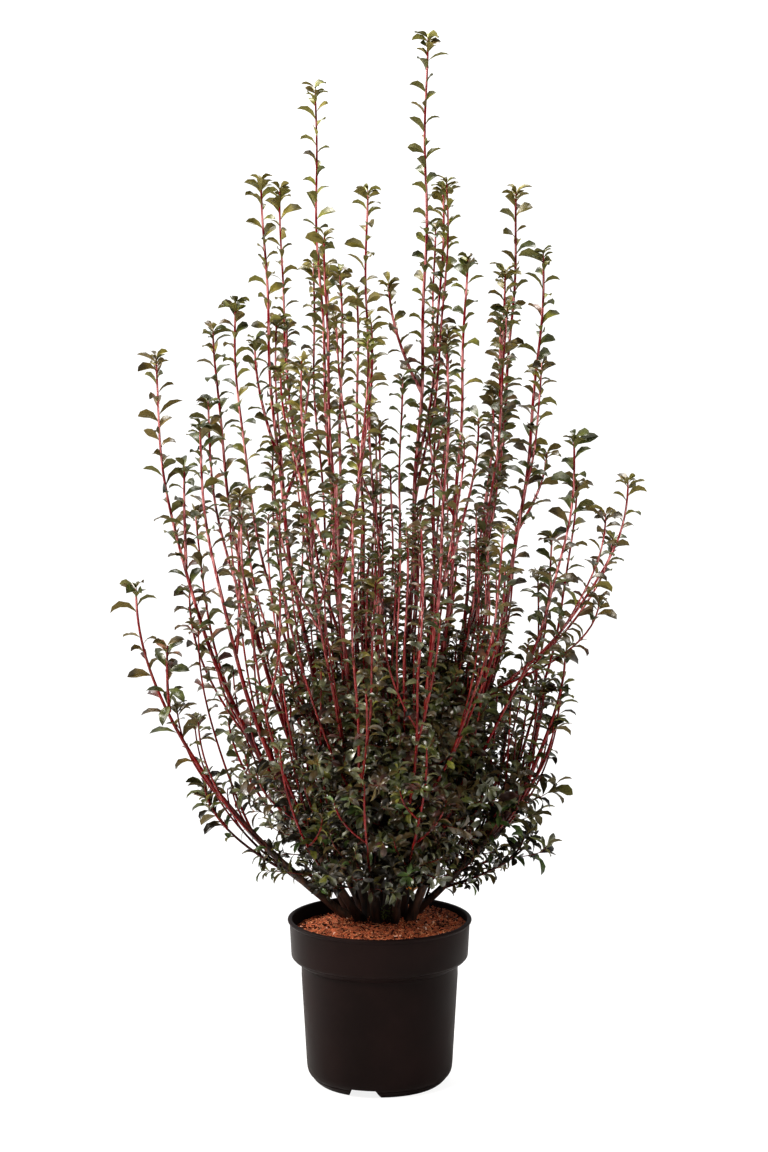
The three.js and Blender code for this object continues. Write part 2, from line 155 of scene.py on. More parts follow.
# Leaves, arched over, in a golden spiral that closes to a rosette at every tip. Angles are in degrees. The
# pairs of width, rise, droop, roll, lift, straighten and a rosette's least and most size are at soil and top.
GOLDEN = math.radians(137.5)
LEAF = Rule(
    inside=0.021, outside=0.036, across=(0.13, 0.28), top=0.029, heart=1.04, jitter=0.14,
    size=dict(sprout=0.3, inner=0.82, young=0.92), width=(0.4, 0.57), broad=(0.88, 1.14), thick=0.00045,
    spacing=0.0116, space=dict(sprout=0.25, inner=3.2, fan=0.6, spray=0.75), uneven=(0.75, 1.25),
    crowds=(0.42, 0.06), lowest=0.02, first=dict(spur=0.15, sprout=0.1), thins=(0.05, 0.9), least=0.58,
    rise=(54, 66), droop=(-36, -6), flatter=20, straightest=-0.05, fold=26, roll=(20, 34), twist=18,
    rooted=0.7, hangs=0.25, clear=0.004,
)
STRAY = Rule(turn=0.25, rise=10, droop=16, fold=8)
ROSETTE = Rule(
    leaves=9, fewer=3, depth=0.016, deepest=0.4, above=0.009, size=((0.75, 0.5), (1.05, 0.9)), lift=(2, -14),
    straighten=(22, -10),
)


def seeded(seed):
    """The stream of numbers from 0 to 1 that the frame's own solids grew from"""
    word = 0xFFFFFFFF
    state = seed

    def draw():
        nonlocal state
        state = (state + 0x6D2B79F5) & word
        t = ((state ^ (state >> 15)) * (1 | state)) & word
        t = ((t + (((t ^ (t >> 7)) * (61 | t)) & word)) & word) ^ t
        return (t ^ (t >> 14)) / 4294967296

    return draw


def between(draw, pair):
    return pair[0] + (pair[1] - pair[0]) * draw()


def mixed(low, high, share):
    return low + (high - low) * share


def eased(value, low, high):
    """0 below low, 1 above high and smooth between them"""
    share = np.clip((value - low) / (high - low), 0, 1)
    return share * share * (3 - 2 * share)


class ShootLine:
    """The line of a stem or shoot, which leaves its foot leaning out and turns upright as it climbs"""

    shares = np.linspace(0, 1, 201)
    step = 0.005  # share of the length to each side of a point that gives its heading

    def __init__(self, foot, tip, start=0.0, end=1.0):
        self.foot, self.tip, self.start, self.end = foot, tip, start, end
        steps = np.diff(self.at(self.shares), axis=0)
        self.travelled = np.concatenate([[0], np.cumsum(np.linalg.norm(steps, axis=1))])
        self.length = self.travelled[-1]

    def rising(self, share):
        """The whole line's point at a share of its height"""
        foot, run = self.foot, self.tip - self.foot
        out = 1 - (1 - share) ** ARCH
        return np.stack([foot[0] + run[0] * out, foot[1] + run[1] * out, foot[2] + run[2] * share], -1)

    def at(self, t):
        """The point at a share of this part's height"""
        return self.rising(self.start + (self.end - self.start) * np.asarray(t, float))

    def along(self, share):
        """The point at a share of the line's length"""
        return self.at(np.interp(share * self.length, self.travelled, self.shares))

    def heading(self, share):
        near, far = (self.along(np.clip(share + step, 0, 1)) for step in (-self.step, self.step))
        return unit(far - near)

    def beside(self, height):
        """The point of the whole line at a height"""
        return self.rising(min((height - self.foot[2]) / (self.tip[2] - self.foot[2]), 1.0))

    def part(self, start, end):
        return ShootLine(self.foot, self.tip, start, end)


def unit(vectors):
    return vectors / np.linalg.norm(vectors, axis=-1, keepdims=True)


def polar(bearing, out, climb=0):
    return np.array([math.cos(bearing) * out, math.sin(bearing) * out, climb])


def around(along):
    """Two directions square to each heading and to each other"""
    aside = unit(np.cross([0.0, 1.0, 0.0], along))
    return aside, np.cross(along, aside)


def middle_of(line, share):
    """The middle at a share of the length of a shoot in the frame, which is straight between its rings"""
    steps = max(3, math.floor(line.length / RING_STEP + 0.5))
    ring = min(math.floor(share * steps), steps - 1)
    low, high = line.along(ring / steps), line.along((ring + 1) / steps)
    return mixed(low, high, share * steps - ring)


class Twig:
    """A shoot of any age: its line, its radius at both ends and what kind it is"""

    def __init__(self, line, radius, kind, tip=TIP_RADIUS):
        self.line, self.radius, self.kind, self.tip = line, radius, kind, tip

    def radius_at(self, share):
        near_tip = 1 - 0.5 * eased(share, 1 - POINTED / self.line.length, 1)
        return mixed(self.radius, self.tip, share**SHOOT_TAPER) * near_tip


class Neighbours:
    """Straight pieces of every limb and twig, for how near a point is to its own mass and to the others"""

    pieces = 14

    def __init__(self):
        self.owners, self.radii, self.starts, self.ends = [], [], [], []

    def add(self, line, owner, radius):
        points = line.at(np.linspace(0, 1, self.pieces + 1))
        self.owners += [owner] * self.pieces
        self.radii += [radius] * self.pieces
        self.starts += list(points[:-1])
        self.ends += list(points[1:])

    def leave_room(self, points, owner):
        starts, run = np.array(self.starts), np.array(self.ends) - np.array(self.starts)
        own = np.array(self.owners) == owner
        for p in points:
            if p[2] < POT_HEIGHT + SIDE.room:
                return False
            share = np.clip(((p - starts) * run).sum(1) / (run * run).sum(1), 0, 1)
            away = np.linalg.norm(p - starts - run * share[:, None], axis=1) - np.array(self.radii)
            if away[~own].min() <= max(away[own].min(), 0) + SIDE.room:
                return False
        return True


def side_shoot(leader, k, draw):
    tip = leader.line.at(1)
    fork = middle_of(leader.line, between(draw, SIDE.fork))
    inward = math.atan2(CROWN[1] - tip[1], CROWN[0] - tip[0])
    bearing = inward + (1 if k % 2 else -1) * between(draw, SIDE.bearing)
    end = tip + polar(bearing, between(draw, SIDE.spread))
    height = (tip[2] - GROUND) * between(draw, SIDE.height)
    end[2] = max(GROUND + height, fork[2] + SIDE.rise)
    return Twig(ShootLine(fork, end), leader.radius * SIDE.girth, "side")


def fan_twig(leader, k, draw):
    foot, tip = leader.line.at(0), leader.line.at(1)
    start = middle_of(leader.line, mixed(*FAN.fork, (k + 0.5) / FAN.twigs))
    outward = math.atan2(tip[1] - foot[1], tip[0] - foot[0])
    bearing = outward + (1 if k % 2 else -1) * between(draw, FAN.bearing)
    length = between(draw, FAN.length)
    end = start + polar(bearing, length * math.cos(FAN.steepness), length * math.sin(FAN.steepness))
    return Twig(ShootLine(start, end), leader.radius * FAN.girth, "fan")


def grow_frame():
    """The limbs, and the twigs that the frame's solids have, by the rule and the seed that made them"""
    limbs, masses = {}, []
    nearby = Neighbours()
    for name, (foot, girth, limb, shoots, sprays) in STEMS.items():
        base = np.array([CROWN[0] + foot[0] * MM, CROWN[1] + foot[1] * MM, GROUND])
        reach = shoots[0][2]
        whole = ShootLine(base, standing(shoots[0]))
        bare = whole.part(-FOOT_DEPTH / MM / reach, limb / reach)
        limbs[name] = Twig(bare, girth * MM / 2, "limb", LIMB_TOP)
        for k, shoot in enumerate(shoots):
            if k == 0:
                leader = Twig(whole.part(limb / reach, 1), LIMB_TOP, "leader")
            else:
                leader = Twig(ShootLine(whole.at(shoot[3] / reach), standing(shoot)), FORK_RADIUS, "leader")
            masses.append((f"{name}_foliage_{k + 1}", [leader], side_shoot))
        for k, spray in enumerate(sprays):
            leader = Twig(ShootLine(whole.at(spray[3] / reach), standing(spray)), FORK_RADIUS, "spray")
            masses.append((f"{name}_low_foliage_{k + 1}", [leader], fan_twig))
    for name, limb in limbs.items():
        nearby.add(limb.line, name, limb_radius(limb, GIRTH_AT))
    for name, twigs, _ in masses:
        nearby.add(twigs[0].line, name, twigs[0].radius)
    draw = seeded(FRAME_SEED)
    for name, twigs, branch in masses:
        leader = twigs[0]
        wanted = FAN.twigs
        if branch is side_shoot:
            rise = leader.line.at(1)[2] - leader.line.at(0)[2]
            wanted = min(SIDE.most, math.floor(rise / SIDE.per_rise))
        for k in range(wanted):
            for _ in range(SIDE.tries):
                twig = branch(leader, k, draw)
                if nearby.leave_room(twig.line.at(TESTED), name):
                    twigs.append(twig)
                    nearby.add(twig.line, name, twig.radius)
                    break
    return limbs, {name: twigs for name, twigs, _ in masses}


def standing(shoot):
    return np.array([shoot[0] * MM, shoot[1] * MM, GROUND + shoot[2] * MM])


def limb_radius(limb, share):
    above_foot = share * (limb.line.at(1)[2] - GROUND)
    flare = FLARE_GAIN * np.maximum(0, 1 - above_foot / (FOOT_DEPTH + FLARE_HEIGHT))
    return mixed(limb.radius, limb.tip, share**LIMB_TAPER) * (1 + flare)


def grow_young(older, rng):
    """Young shoots that leave an older one and run up beside it"""
    for parent in older:
        if parent.line.length < YOUNG.least:
            continue
        tip = parent.line.at(1)
        density = mixed(YOUNG.left, YOUNG.right, eased(tip[0], *OPEN))
        count = round(parent.line.length / YOUNG.every * density)
        for k in range(count):
            share = mixed(*YOUNG.fork, (k + rng.random()) / count)
            foot = parent.line.along(share)
            height = foot[2] + (tip[2] - foot[2]) * rng.uniform(*YOUNG.rise)
            bearing = rng.uniform(0, 2 * math.pi)
            end = parent.line.beside(height) + polar(bearing, rng.uniform(*YOUNG.spread))
            radius = parent.radius_at(share) * YOUNG.girth
            yield Twig(ShootLine(foot, end), radius, "young", YOUNG.tip)


def grow_inner(limbs, rng):
    """Thin red shoots that rise from the limbs through the shrub's heart"""
    for limb in limbs:
        count = round(mixed(INNER.left, INNER.right, eased(limb.line.tip[0], *OPEN)))
        for k in range(count):
            foot = limb.line.along(mixed(*INNER.fork, (k + rng.random()) / count))
            highest = (limb.line.tip[2] - GROUND) * INNER.below_tip
            height = max(GROUND + min(rng.uniform(*INNER.height), highest), foot[2] + INNER.climb)
            end = mixed(foot, limb.line.beside(height), rng.uniform(*INNER.follow))
            end = end + rng.normal(0, INNER.stray * (height - foot[2]), 3)
            end[2] = height
            yield Twig(ShootLine(foot, end), INNER.radius, "inner", INNER.tip)


def grow_sprout(rng):
    """A tuft of small fresh shoots at the soil"""
    for _ in range(SPROUT.shoots):
        foot = np.array([*SPROUT.foot, GROUND]) + [*rng.normal(0, SPROUT.scatter, 2), 0]
        end = foot + [*rng.normal(0, SPROUT.lean, 2), rng.uniform(*SPROUT.height)]
        yield Twig(ShootLine(foot - [0, 0, SPROUT.sunk], end), SPROUT.radius, "sprout", SPROUT.radius / 2)


def grow_spurs(older, rng):
    """Short leafy spurs, close together low down and few above"""
    for parent in older:
        count = int(parent.line.length / SPUR.every)
        for k in range(count):
            share = (k + rng.random()) / count
            foot = parent.line.along(share)
            if foot[2] - GROUND < SPUR.from_height or rng.random() > crowding(foot):
                continue
            outward = math.atan2(foot[1] - CROWN[1], foot[0] - CROWN[0])
            bearing = outward + rng.normal(0, SPUR.outward)
            length = rng.uniform(*SPUR.length)
            steep = rng.uniform(*SPUR.steep)
            end = foot + polar(bearing, length * math.cos(steep), length * math.sin(steep))
            yield Twig(ShootLine(foot, end), SPUR.radius, "spur", SPUR.tip)


def crowding(places):
    """How closely spurs stand at each place: 1 in the shrub's leafy heart and 0 outside it"""
    reach = np.linalg.norm(places[..., :2] - HEART.middle[:2], axis=-1) / HEART.reach
    climb = np.maximum(0, places[..., 2] - GROUND - HEART.middle[2]) / HEART.climb
    return 1 - eased(np.hypot(reach, climb), *HEART.fades)


def sway(points):
    """The slight bends of living shoots: the same shift for all that grows at one place, none at the soil"""
    x, y, z = points.T
    bends = []
    for (size, up, wide, phase), beside in zip(SWAY, (x, y, y, x)):
        bends.append(size * np.sin(z / up + beside / wide + phase))
    gain = MM * eased(z, GROUND, GROUND + SWAY_FROM)
    return points + np.stack([(bends[0] + bends[1]) * gain, (bends[2] + bends[3]) * gain, 0 * z], -1)


def up_shrub(heights):
    """Heights as shares of the shrub's own, from 0 at the soil to 1 at the top"""
    return np.clip((heights - GROUND) / (TOP - GROUND), 0, 1)


def leaf_places(twig, rng):
    """Shares of a twig's length where leaves grow, closer towards its tip, and which are its rosette"""
    length = twig.line.length
    first = LEAF.first.get(twig.kind, LEAF.lowest)
    closest, reach = LEAF.crowds
    spacing = LEAF.spacing * LEAF.space.get(twig.kind, 1)
    depth = min(ROSETTE.depth, length * ROSETTE.deepest)
    places, below = [], depth
    while below < length * (1 - first):
        places.append(1 - below / length)
        below += spacing * mixed(closest, 1, eased(below, 0, reach)) * rng.uniform(*LEAF.uneven)
    crowned = ROSETTE.leaves - (ROSETTE.fewer if twig.kind in ("spur", "sprout") else 0)
    tip = 1 - depth / length * np.arange(crowned)[::-1] / crowned
    return np.concatenate([places[::-1], tip]), np.arange(len(places) + crowned) >= len(places)


def leaf_sizes(twig, root, in_rosette, rng):
    """Lengths of a twig's leaves: small inside the shrub's foot and largest at its sides"""
    height = up_shrub(root[:, 2])
    low = mixed(LEAF.inside, LEAF.outside, eased(abs(root[:, 0] - CROWN[0]), *LEAF.across))
    size = mixed(low, LEAF.top, height) * mixed(1, LEAF.heart, crowding(root) ** 2)
    size = size * np.exp(rng.normal(0, LEAF.jitter, len(root)))
    least, most = (mixed(*pair, height) for pair in ROSETTE.size)
    size = size * np.where(in_rosette, mixed(least, most, rng.random(len(root))), 1)
    return size * LEAF.size.get(twig.kind, 1)


def leaf_out(twigs, rng):
    """Every leaf of the shrub, as arrays: where it is rooted, how it grows and the number of its spray"""
    sprays = []
    for number, twig in enumerate(twigs):
        places, in_rosette = leaf_places(twig, rng)
        count = len(places)
        turn = rng.uniform(0, 2 * math.pi) + GOLDEN * np.arange(count) + rng.normal(0, STRAY.turn, count)
        root, along = twig.line.along(places), twig.line.heading(places)
        aside, across = around(along)
        out = aside * np.cos(turn)[:, None] + across * np.sin(turn)[:, None]
        height, heart = up_shrub(root[:, 2]), crowding(root)
        size = leaf_sizes(twig, root, in_rosette, rng)
        rise = mixed(*LEAF.rise, height) + rng.normal(0, STRAY.rise, count)
        rise = rise + in_rosette * mixed(*ROSETTE.lift, height)
        droop = mixed(*LEAF.droop, height) + LEAF.flatter * heart**2 + rng.normal(0, STRAY.droop, count)
        droop = droop + in_rosette * mixed(*ROSETTE.straighten, height) * (1 - heart**2)
        keep = np.ones(count, bool)
        if twig.kind not in ("spur", "fan", "sprout"):
            share = mixed(LEAF.least, 1.0, eased(root[:, 2] - GROUND, *LEAF.thins))
            keep = rng.random(count) < np.maximum(share, heart)
        radius = twig.radius_at(places)[:, None] * LEAF.rooted
        rooted = sway(root) + out * radius
        lowest = rooted[:, 2] - size * LEAF.hangs
        keep &= lowest > (GROUND if twig.kind == "sprout" else POT_HEIGHT + LEAF.clear)
        spray = dict(
            root=rooted, along=along, out=out, length=size, rise=np.radians(rise), droop=np.radians(droop),
            spray=np.full(count, number),
        )
        sprays.append({key: values[keep] for key, values in spray.items()})
    return {key: np.concatenate([spray[key] for spray in sprays]) for key in sprays[0]}


# A leaf's outline: shares of its length from the stalk, and its half width there as a share of the widest
LEAF_ROWS = ((0.0, 0.0), (0.1, 0.22), (0.36, 0.74), (0.62, 1.0), (0.84, 0.62), (1.0, 0.0))
ROW = 4  # corners of a row: edge, midrib, edge and the midrib's underside


def leaf_faces():
    """Triangles of one leaf, and which of them are its underside"""
    rows = len(LEAF_ROWS) - 2
    stalk, last, tip = 0, 1 + (rows - 1) * ROW, 1 + rows * ROW
    faces = []
    for c in range(ROW):
        d = (c + 1) % ROW
        faces.append((stalk, 1 + c, 1 + d))
        for row in range(rows - 1):
            a, b = 1 + row * ROW + c, 1 + row * ROW + d
            if c < ROW // 2:
                faces += [(a, b + ROW, b), (a, a + ROW, b + ROW)]
            else:  # split along the same diagonals as the upper side, so that the two never cross
                faces += [(a, a + ROW, b), (b, a + ROW, b + ROW)]
        faces.append((tip, last + d, last + c))
    return np.array(faces), np.repeat(np.arange(ROW) >= ROW // 2, 2 * rows)


def leaf_corners(leaves, rng):
    """Corners of every leaf: an arched blade, folded along its midrib and a little twisted"""
    shares, widths = np.array(LEAF_ROWS).T[..., None]
    length, rise, droop = (leaves[key][:, None, None] for key in ("length", "rise", "droop"))
    root, along, out = (leaves[key][:, None, :] for key in ("root", "along", "out"))
    each = length.shape
    bend = np.minimum(droop - rise, LEAF.straightest)
    angle = rise + bend * shares
    reach = length * (np.sin(angle) - np.sin(rise)) / bend
    climb = length * (np.cos(rise) - np.cos(angle)) / bend
    centre = root + out * reach + along * climb
    up = along * np.cos(angle) - out * np.sin(angle)
    side = np.cross(along, out)
    height = up_shrub(root[..., 2:])
    roll = rng.normal(0, 1, each) * mixed(*LEAF.roll, height)
    twist = np.radians(roll + rng.normal(0, LEAF.twist, each) * shares)
    turned_side = side * np.cos(twist) + up * np.sin(twist)
    turned_up = up * np.cos(twist) - side * np.sin(twist)
    fold = np.radians(LEAF.fold + rng.normal(0, STRAY.fold, each))
    half = length * mixed(*LEAF.width, height) / 2 * widths * rng.uniform(*LEAF.broad, each)
    edge, lift = turned_side * half * np.cos(fold), turned_up * half * np.sin(fold)
    under = centre - turned_up * LEAF.thick * np.sqrt(widths)
    row = np.stack([centre - edge + lift, centre, centre + edge + lift, under], 2)
    rows = row[:, 1:-1].reshape(len(length), -1, 3)
    return np.concatenate([centre[:, :1], rows, centre[:, -1:]], 1)


def plain_mesh(name, points, faces, smooth_to, finishes=(), finish_of=None, blade=None):
    """A mesh object from arrays of corners and triangles, smooth except at edges sharper than an angle"""
    mesh = bpy.data.meshes.new(name)
    mesh.from_pydata(points.tolist(), [], faces.tolist(), shade_flat=False)
    mesh.validate()
    mesh.set_sharp_from_angle(angle=math.radians(smooth_to))
    for finish in finishes:
        mesh.materials.append(finish)
    if finish_of is not None:
        mesh.polygons.foreach_set("material_index", finish_of.astype(np.int32))
    if blade is not None:
        kept = mesh.attributes.new("blade", "FLOAT", "POINT")
        kept.data.foreach_set("value", blade.astype(np.float32))
    return placed(name, mesh)


def placed(name, data):
    thing = bpy.data.objects.new(name, data)
    bpy.context.scene.collection.objects.link(thing)
    return thing


def settled(thing):
    """The object's evaluated shape as a plain mesh object in its place"""
    bpy.context.view_layer.update()
    shape = thing.evaluated_get(bpy.context.evaluated_depsgraph_get())
    mesh = bpy.data.meshes.new_from_object(shape)
    name = thing.name
    bpy.data.objects.remove(thing)
    mesh.name = name
    return placed(name, mesh)


# Tints of the leaves as sRGB, with the height (0 at the soil, 1 at the top) where each is most common, how
# far it spreads from there, its share of the leaves and its gloss
TINTS = {
    "young_olive": ((110, 110, 48), 1.0, 0.28, 1.0, 0.48),
    "olive": ((104, 96, 42), 0.74, 0.28, 1.0, 0.48),
    "brown_olive": ((85, 71, 32), 0.5, 0.24, 0.9, 0.62),
    "mid_green": ((68, 73, 31), 0.45, 0.35, 1.0, 0.62),
    "bronze": ((92, 62, 42), 0.4, 0.22, 0.18, 0.48),
    "purple_bronze": ((78, 50, 44), 0.26, 0.18, 0.2, 0.48),
    "dark_olive": ((73, 59, 32), 0.22, 0.26, 0.9, 0.78),
    "grey_green": ((90, 92, 63), 0.12, 0.22, 1.0, 1.0),
    # shade_green is painted shade: near-black leaves low down, where shade falls under the crown
    "shade_green": ((32, 27, 15), 0.0, 0.14, 2.2, 0.3),
    "leaf_green": ((74, 92, 50), 0.06, 0.1, 0.3, 0.48),
    "yellow_green": ((122, 124, 50), 0.1, 0.2, 0.06, 0.48),
    "amber": ((200, 130, 48), 0.06, 0.08, 0.03, 0.48),
    "fresh_green": ((98, 124, 46), 0.0, 0.1, 0.0, 0.48),
}
# How far a spray's own tint reaches down the list, the rest being rare leaves, the share of its leaves with a
# second tint, the share with any tint, and how far each strays from its spray's
DEAL = Rule(common=0.974, second=0.3, any=0.12, stray=0.05)


def deal_tints(leaves, twigs, rng):
    """The tint of each leaf: most of a spray's leaves take its own, and some a second one"""
    names, common = list(TINTS), DEAL.common
    likes, spread, share = (np.array([TINTS[name][k] for name in names]) for k in (1, 2, 3))
    spray, height = leaves["spray"], up_shrub(leaves["root"][:, 2])
    count, sprays = len(height), spray.max() + 1
    weights = share * np.exp(-(((height[:, None] - likes) / spread) ** 2))
    weights = np.cumsum(weights / weights.sum(1, keepdims=True), 1)
    own, second = rng.random(sprays) * common, rng.random(sprays) * common
    pick = np.where(rng.random(count) < DEAL.second, second[spray], own[spray])
    pick = np.clip(pick + rng.normal(0, DEAL.stray, count), 0, common)
    pick = np.where(rng.random(count) < DEAL.any, rng.random(count), pick)
    tints = (pick[:, None] > weights).sum(1)
    fresh = np.array([twig.kind == "sprout" for twig in twigs])
    tints[fresh[spray]] = names.index("fresh_green")
    return tints, names


class Wire:
    """A value or colour on its way through a node tree, which Python's own operators combine"""

    def __init__(self, nodes, socket):
        self.nodes, self.socket = nodes, socket

    def maths(self, operation, *values):
        return self.nodes.add("ShaderNodeMath", dict(enumerate(values)), operation=operation)

    def __add__(self, other):
        return self.maths("ADD", self, other)

    def __sub__(self, other):
        return self.maths("SUBTRACT", self, other)

    def __rsub__(self, other):
        return self.maths("SUBTRACT", other, self)

    def __mul__(self, other):
        return self.maths("MULTIPLY", self, other)

    __radd__ = __add__
    __rmul__ = __mul__

    def ranged(self, low, high, to_low=0.0, to_high=1.0):
        values = {"Value": self, "From Min": low, "From Max": high, "To Min": to_low, "To Max": to_high}
        return self.nodes.add("ShaderNodeMapRange", values, interpolation_type="SMOOTHSTEP")


class Nodes:
    """A node tree that is being built"""

    def __init__(self, tree):
        self.tree = tree
        tree.nodes.clear()

    def add(self, kind, values=None, out=0, **settings):
        """A node with its settings made first and then its sockets filled by values or wires"""
        node = self.tree.nodes.new(kind)
        for key, setting in settings.items():
            setattr(node, key, setting)
        for key, value in (values or {}).items():
            if isinstance(value, Wire):
                self.tree.links.new(value.socket, node.inputs[key])
            else:
                node.inputs[key].default_value = value
        return Wire(self, node.outputs[out]) if node.outputs else None

    def mixed(self, share, low, high):
        """A colour between two colours"""
        return self.add("ShaderNodeMix", {0: share, 6: low, 7: high}, 2, data_type="RGBA", clamp_factor=True)


def srgb(red, green, blue):
    """A colour of 0 to 255 steps as Blender's linear one"""
    steps = (np.array([red, green, blue]) / 255).tolist()
    return (*(s / 12.92 if s <= 0.04045 else ((s + 0.055) / 1.055) ** 2.4 for s in steps), 1.0)


def shaded(colour, gain):
    return (*(min(1.0, c * gain) for c in colour[:3]), 1.0)


class Finish(Nodes):
    """A material: its surface takes what varies by wires, and what is constant on its own sockets"""

    def __init__(self, name):
        self.material = bpy.data.materials.new(name)
        self.material.use_nodes = True
        super().__init__(self.material.node_tree)
        self.place = self.add("ShaderNodeTexCoord", out="Object")

    def grain(self, scale, detail=3.0, stretch=(1, 1, 1), rough=0.5):
        """Noise of a number of waves a metre, stretched along the axes"""
        place = self.add("ShaderNodeMapping", {"Vector": self.place, "Scale": stretch})
        values = {"Vector": place, "Scale": scale, "Detail": detail, "Roughness": rough}
        return self.add("ShaderNodeTexNoise", values)

    def height(self):
        return self.add("ShaderNodeSeparateXYZ", {0: self.place}, "Z")

    def surface(self, tint, rough, gloss, bump, depth, strength=0.4):
        """The material, with a relief of a depth in metres"""
        relief = self.add("ShaderNodeBump", {"Strength": strength, "Distance": depth, "Height": bump})
        values = {"Base Color": tint, "Roughness": rough, "Specular IOR Level": gloss, "Normal": relief}
        self.add("ShaderNodeOutputMaterial", {"Surface": self.add("ShaderNodeBsdfPrincipled", values)})
        return self.material


def leaf_upper(name, colour, gloss):
    """A shiny blade, palest at its foot"""
    finish = Finish(name)
    blotch = finish.grain(60, 2)
    fine = finish.grain(420, 2)
    blade = finish.add("ShaderNodeAttribute", out="Fac", attribute_name="blade")
    tone = blotch + (0.45 - blade) * 0.5
    tint = finish.mixed(tone.ranged(0.25, 0.75), shaded(colour, 0.42), shaded(colour, 1.58))
    rough = fine.ranged(0.2, 0.8, 0.25, 0.4)
    return finish.surface(tint, rough, gloss, bump=fine, depth=0.0004, strength=0.25)


def leaf_under(name, colour):
    pale = tuple(mixed(c, grey, 0.4) for c, grey in zip(colour[:3], srgb(112, 102, 62)))
    finish = Finish(name)
    fine = finish.grain(380, 2)
    tint = finish.mixed(fine.ranged(0.2, 0.8), shaded(pale, 0.82), shaded(pale, 1.15))
    return finish.surface(tint, rough=0.62, gloss=0.25, bump=fine, depth=0.0004, strength=0.3)


def shoot_finish(name, colour, painted_highlight, gloss):
    """Glossy wood with painted highlights: narrow pale streaks, which are warmer and weaker low down and
    weaker at the top too
    """
    finish = Finish(name)
    streak = finish.grain(120, 3, (1, 1, 0.12))
    patch = finish.grain(34, 2)
    side = finish.grain(560, 1, (1, 1, 0.03))
    speck = finish.grain(900, 2)
    tint = finish.mixed(streak.ranged(0.3, 0.7), shaded(colour, 0.55), shaded(colour, 1.2))
    height = finish.height()
    climb = height.ranged(GROUND + 0.25, GROUND + 0.65, 0.4, 1.2)
    climb = climb - height.ranged(GROUND + 0.8, GROUND + 1.2, 0.0, 0.45)
    # Painted highlight: pale streaks along the stems in patches, standing in for the light that glossy wood
    # catches
    highlight_mask = patch.ranged(0.36, 0.54) * side.ranged(0.48, 0.56) * climb * painted_highlight
    high = height.ranged(GROUND + 0.25, GROUND + 0.65)
    # The painted highlight's colour: warm low down and pale pink higher up
    tint = finish.mixed(highlight_mask, tint, finish.mixed(high, srgb(222, 112, 84), srgb(241, 168, 168)))
    rough = speck.ranged(0.2, 0.8, 0.12, 0.22)
    return finish.surface(tint, rough, gloss, bump=streak, depth=0.0004, strength=0.3)


def bark_finish():
    """Grey-brown bark at the foot, darkened there with painted shade, that turns to smooth maroon up the stem
    """
    finish = Finish("bark")
    streak = finish.grain(150, 4, (1, 1, 0.1), 0.65)
    patch = finish.grain(38, 3)
    climb = (finish.height() + patch * 0.09).ranged(GROUND + 0.09, GROUND + 0.33)
    # The foot's bark: its own grey-brown, made darker as painted shade from the foliage above
    old_bark_and_shade = finish.mixed(streak.ranged(0.34, 0.66), srgb(17, 10, 8), srgb(78, 52, 37))
    young = finish.mixed(streak.ranged(0.3, 0.7), srgb(40, 6, 10), srgb(104, 12, 20))
    tint = finish.mixed(climb, old_bark_and_shade, young)
    rough = streak.ranged(0.2, 0.8, 0.55, 0.85)
    return finish.surface(tint, rough, gloss=0.5, bump=streak, depth=0.0012, strength=0.7)


def pot_finish():
    finish = Finish("black_plastic")
    cloud = finish.grain(9, 3)
    grain = finish.grain(900, 2)
    scuff = finish.grain(60, 4, (1, 1, 0.15), 0.7).ranged(0.62, 0.8)
    tint = finish.mixed(cloud.ranged(0.35, 0.7), srgb(22, 13, 12), srgb(30, 19, 18))
    tint = finish.mixed(scuff * 0.3, tint, srgb(40, 31, 29))
    rough = cloud.ranged(0.3, 0.7, 0.5, 0.6)
    return finish.surface(tint, rough, gloss=0.08, bump=grain, depth=0.0002, strength=0.3)


def soil_finish():
    finish = Finish("soil")
    clod = finish.grain(110, 5, rough=0.65)
    fibre = finish.grain(520, 3)
    tint = finish.mixed(clod.ranged(0.3, 0.7), srgb(66, 34, 26), srgb(184, 104, 70))
    tint = finish.mixed(fibre.ranged(0.55, 0.8) * 0.5, tint, srgb(214, 148, 104))
    return finish.surface(tint, rough=0.95, gloss=0.2, bump=fibre + clod, depth=0.002)


def chip_finish(name, colour):
    finish = Finish(name)
    fibre = finish.grain(600, 3, (1, 1, 0.4))
    tint = finish.mixed(fibre.ranged(0.3, 0.7), shaded(colour, 0.6), shaded(colour, 1.3))
    return finish.surface(tint, rough=0.9, gloss=0.2, bump=fibre, depth=0.0005)


def ring_at(radius, height, sides):
    """Corners of a level ring about the pot's axis"""
    angles = np.arange(sides) * 2 * math.pi / sides
    return np.stack([np.cos(angles) * radius, np.sin(angles) * radius, np.full(sides, height)], 1)


def ring_faces(sides, rings, start, foot, top):
    """Triangles that join rings of corners and close them at a foot and a top corner"""
    here, there = np.arange(sides), (np.arange(sides) + 1) % sides
    faces = [np.stack([np.full(sides, foot), start + there, start + here], 1)]
    for row in range(rings - 1):
        a, b = start + row * sides + here, start + row * sides + there
        faces += [np.stack([a, b, b + sides], 1), np.stack([a, b + sides, a + sides], 1)]
    last = start + (rings - 1) * sides
    return [*faces, np.stack([last + here, last + there, np.full(sides, top)], 1)]


def closed_form(name, foot, rings, top, smooth_to, finishes=()):
    """A closed mesh of rings about the pot's axis, from a foot's height on the axis to a top's"""
    points = np.concatenate([[(0, 0, foot)], *rings, [(0, 0, top)]])
    faces = ring_faces(len(rings[0]), len(rings), 1, 0, len(points) - 1)
    return plain_mesh(name, points, np.concatenate(faces), smooth_to, finishes)


def bend(centre, radius, start, end, steps):
    """Points of an arc in a profile, from one angle to another in degrees"""
    angles = np.radians(np.linspace(start, end, steps))
    return [(centre[0] + radius * math.cos(a), centre[1] + radius * math.sin(a)) for a in angles]


